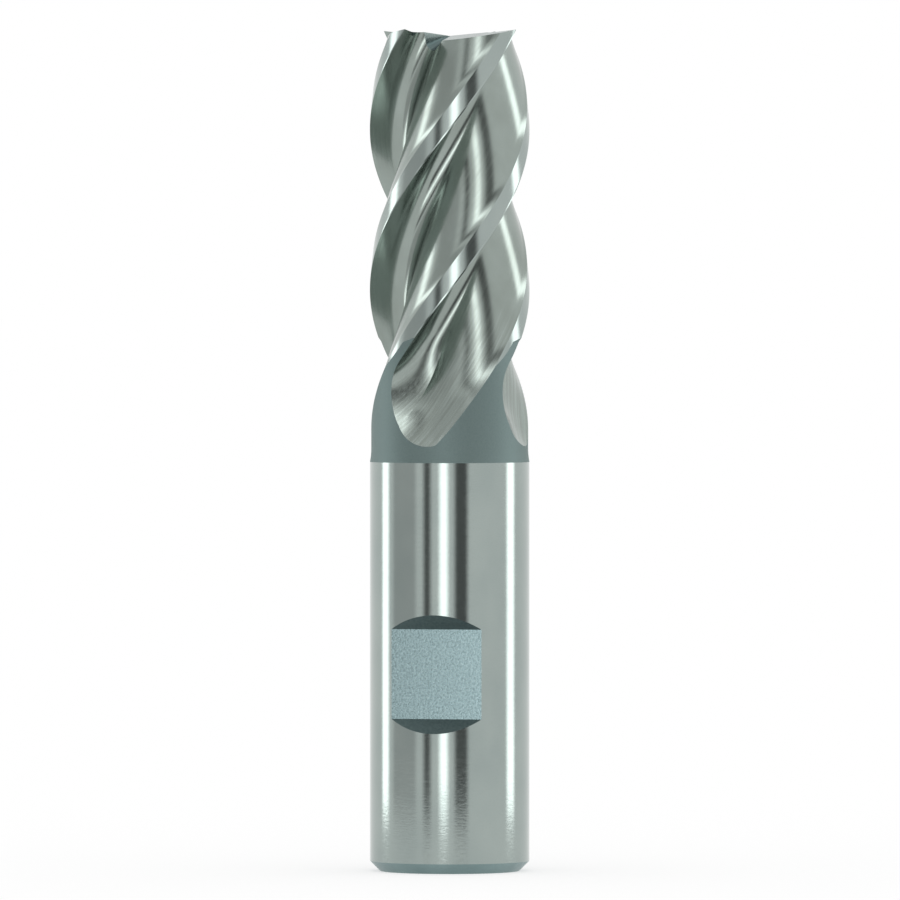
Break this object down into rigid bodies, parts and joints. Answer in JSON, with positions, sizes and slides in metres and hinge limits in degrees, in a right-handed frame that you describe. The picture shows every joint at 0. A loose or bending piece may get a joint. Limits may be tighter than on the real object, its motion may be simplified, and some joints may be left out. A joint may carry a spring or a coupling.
{
  "type": "endmill",
  "caption": "One-piece rotary milling cutter with helical flutes, centre-cutting end teeth and a plain shank with a side clamping flat.",
  "frame": {"origin": "centre of the shank's end face", "axes": "+Z along the tool's axis towards the cutting end; the clamping flat faces -Y; the shank leaves its holder along +Z"},
  "size_m": [0.006, 0.006, 0.0316],
  "materials": {
    "tool_steel": "ground; satin neck, blasted clamping flat"
  },
  "bodies": {
    "root": {"endmill": "tool_steel"}
  },
  "joints": []
}
